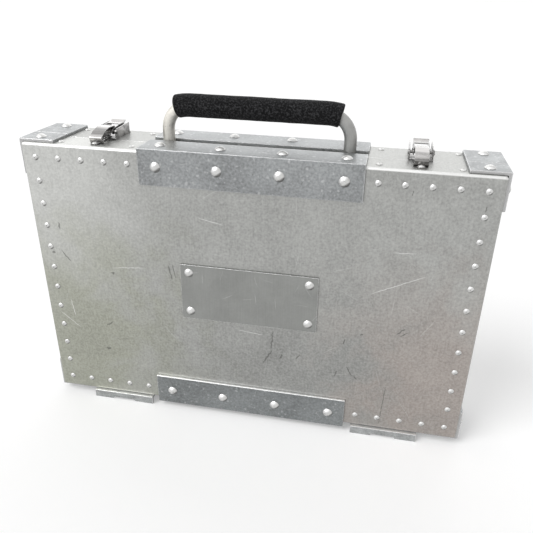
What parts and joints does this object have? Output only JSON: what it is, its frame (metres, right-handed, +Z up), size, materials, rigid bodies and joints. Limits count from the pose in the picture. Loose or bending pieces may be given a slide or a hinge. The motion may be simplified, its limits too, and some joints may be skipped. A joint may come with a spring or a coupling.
{
  "type": "salesman sample case",
  "caption": "Shallow aluminium carrying case: two riveted trays hinged along the bottom, draw latches on top, a bent rod handle with a foam grip, corner angles and feet.",
  "frame": {"origin": "on the floor under the middle of the case's footprint", "axes": "+X along the case to the right, +Y from the lid's panel to the back panel, +Z up towards the handle"},
  "size_m": [0.5, 0.0958, 0.3706],
  "materials": {
    "sheet_aluminium": "satin mill finish, lightly scuffed",
    "angle_aluminium": "extruded, mottled mill finish",
    "plate_aluminium": "satin, edges bright",
    "rivet_aluminium": "bright domed heads",
    "rod_aluminium": "satin round bar",
    "latch_chrome": "bright plated steel",
    "plated_steel": "zinc plated",
    "grip_foam": "matte black foam with a fine speckle"
  },
  "bodies": {
    "body": {"body_tray": "sheet_aluminium", "body_inner_angle_top": "sheet_aluminium", "body_inner_angle_bottom": "sheet_aluminium", "body_inner_angle_left": "sheet_aluminium", "body_inner_angle_right": "sheet_aluminium", "body_small_rivets": "rivet_aluminium", "body_large_rivets": "rivet_aluminium", "back_top_angle": "angle_aluminium", "back_bottom_angle": "angle_aluminium", "body_corner_angle_top_left": "angle_aluminium", "body_corner_angle_top_right": "angle_aluminium", "body_corner_angle_bottom_left": "angle_aluminium", "body_corner_angle_bottom_right": "angle_aluminium", "foot_back_left": "angle_aluminium", "foot_back_right": "angle_aluminium", "hinge_leaf_body_left": "plated_steel", "hinge_leaf_body_right": "plated_steel", "hinge_pin_left": "plated_steel", "hinge_pin_right": "plated_steel", "latch_base_left": "latch_chrome", "latch_base_right": "latch_chrome", "latch_pivot_pin_left": "latch_chrome", "latch_pivot_pin_right": "latch_chrome", "handle_rod": "rod_aluminium", "handle_grip": "grip_foam", "handle_spreader": "angle_aluminium", "handle_washers": "plated_steel", "handle_nuts": "plated_steel"},
    "lid": {"lid_tray": "sheet_aluminium", "lid_inner_angle_top": "sheet_aluminium", "lid_inner_angle_bottom": "sheet_aluminium", "lid_inner_angle_left": "sheet_aluminium", "lid_inner_angle_right": "sheet_aluminium", "lid_small_rivets": "rivet_aluminium", "lid_large_rivets": "rivet_aluminium", "front_top_angle": "angle_aluminium", "front_bottom_angle": "angle_aluminium", "lid_corner_angle_top_left": "angle_aluminium", "lid_corner_angle_top_right": "angle_aluminium", "lid_corner_angle_bottom_left": "angle_aluminium", "lid_corner_angle_bottom_right": "angle_aluminium", "nameplate": "plate_aluminium", "nameplate_rivets": "rivet_aluminium", "latch_keeper_left": "latch_chrome", "latch_keeper_right": "latch_chrome", "foot_front_left": "angle_aluminium", "foot_front_right": "angle_aluminium", "hinge_leaf_lid_left": "plated_steel", "hinge_leaf_lid_right": "plated_steel"},
    "left_lever": {"latch_lever_left": "latch_chrome", "latch_claw_pin_left": "latch_chrome"},
    "left_claw": {"latch_claw_left": "latch_chrome"},
    "right_lever": {"latch_lever_right": "latch_chrome", "latch_claw_pin_right": "latch_chrome"},
    "right_claw": {"latch_claw_right": "latch_chrome"}
  },
  "joints": [
    {"name": "lid_hinge", "type": "hinge", "parent": "body", "child": "lid", "pos_m": [0, -0.0064, 0.0065], "axis": [1, 0, 0], "range_deg": [0, 165]},
    {"name": "left_lever_pivot", "type": "hinge", "parent": "body", "child": "left_lever", "pos_m": [-0.1651, -0.0018, 0.327], "axis": [1, 0, 0], "range_deg": [0, 110]},
    {"name": "left_claw_pivot", "type": "hinge", "parent": "left_lever", "child": "left_claw", "pos_m": [-0.1651, 0.0052, 0.327], "axis": [1, 0, 0], "range_deg": [-110, 0]},
    {"name": "right_lever_pivot", "type": "hinge", "parent": "body", "child": "right_lever", "pos_m": [0.1651, -0.0018, 0.327], "axis": [1, 0, 0], "range_deg": [0, 110]},
    {"name": "right_claw_pivot", "type": "hinge", "parent": "right_lever", "child": "right_claw", "pos_m": [0.1651, 0.0052, 0.327], "axis": [1, 0, 0], "range_deg": [-110, 0]}
  ],
  "couplings": [
    {"joint": "left_claw_pivot", "follows": "left_lever_pivot", "ratio": -1},
    {"joint": "right_claw_pivot", "follows": "right_lever_pivot", "ratio": -1}
  ]
}
